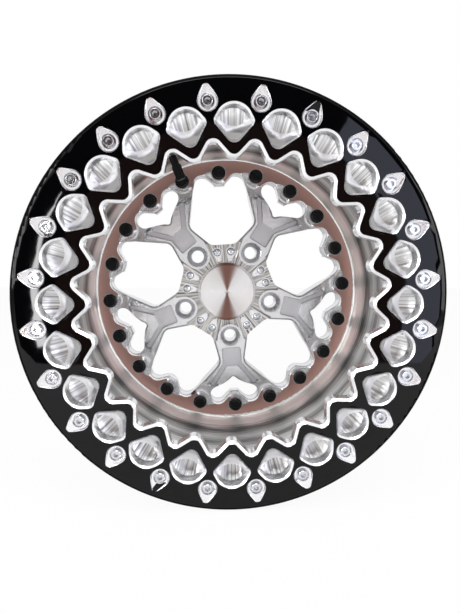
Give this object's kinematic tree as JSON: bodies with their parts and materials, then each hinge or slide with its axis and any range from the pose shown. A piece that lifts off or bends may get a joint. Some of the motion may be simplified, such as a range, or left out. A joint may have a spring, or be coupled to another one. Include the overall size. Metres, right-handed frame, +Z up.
{
  "type": "beadlock wheel",
  "caption": "Multi-piece off-road rim: outer ring clamps the tyre bead with screws, Y-spoked centre bolted between two barrel halves.",
  "frame": {"origin": "on the wheel's axle, midway between the clamping ring's front face and the rear rim edge", "axes": "+Y runs along the axle from the outer (street) side to the car's hub, +Z is up and +X is to the right seen from the street side"},
  "size_m": [0.4419, 0.28, 0.442],
  "materials": {
    "ring_black": "gloss black anodised face, machined bright edges",
    "barrel_polished": "polished",
    "barrel_inner": "machined",
    "centre_milled": "milled bright",
    "zinc_steel": "zinc plated",
    "insert_steel": "plain stainless",
    "black_steel": "matt black",
    "seal_rubber": "black sealant",
    "cap_spun": "spun face",
    "black_aluminium": "satin black anodised",
    "valve_brass": "plain"
  },
  "bodies": {
    "wheel": {"beadlock_ring": "ring_black", "outer_barrel": "barrel_polished", "inner_barrel": "barrel_inner", "centre": "centre_milled", "ring_screws": "zinc_steel", "ring_washers": "zinc_steel", "thread_inserts": "insert_steel", "assembly_bolts": "black_steel", "bolt_washers": "zinc_steel", "nut_washers": "zinc_steel", "assembly_nuts": "black_steel", "front_seal": "seal_rubber", "rear_seal": "seal_rubber", "centre_cap": "cap_spun", "cap_seal": "seal_rubber", "hub_screws": "zinc_steel", "valve_stem": "black_aluminium", "valve_seal": "seal_rubber", "valve_washer": "black_aluminium", "valve_nut": "black_aluminium", "valve_core": "valve_brass"},
    "valve_cap": {"valve_cap": "black_aluminium", "valve_cap_seal": "seal_rubber"},
    "valve_pin": {"valve_pin": "valve_brass"}
  },
  "joints": [
    {"name": "valve_cap_lift", "type": "slide", "parent": "wheel", "child": "valve_cap", "axis": [0.3827, 0, -0.9239], "range_m": [0, 0.02]},
    {"name": "valve_pin_press", "type": "slide", "parent": "wheel", "child": "valve_pin", "axis": [-0.3827, 0, 0.9239], "range_m": [0, 0.001], "stiffness_N_per_m": 400}
  ]
}
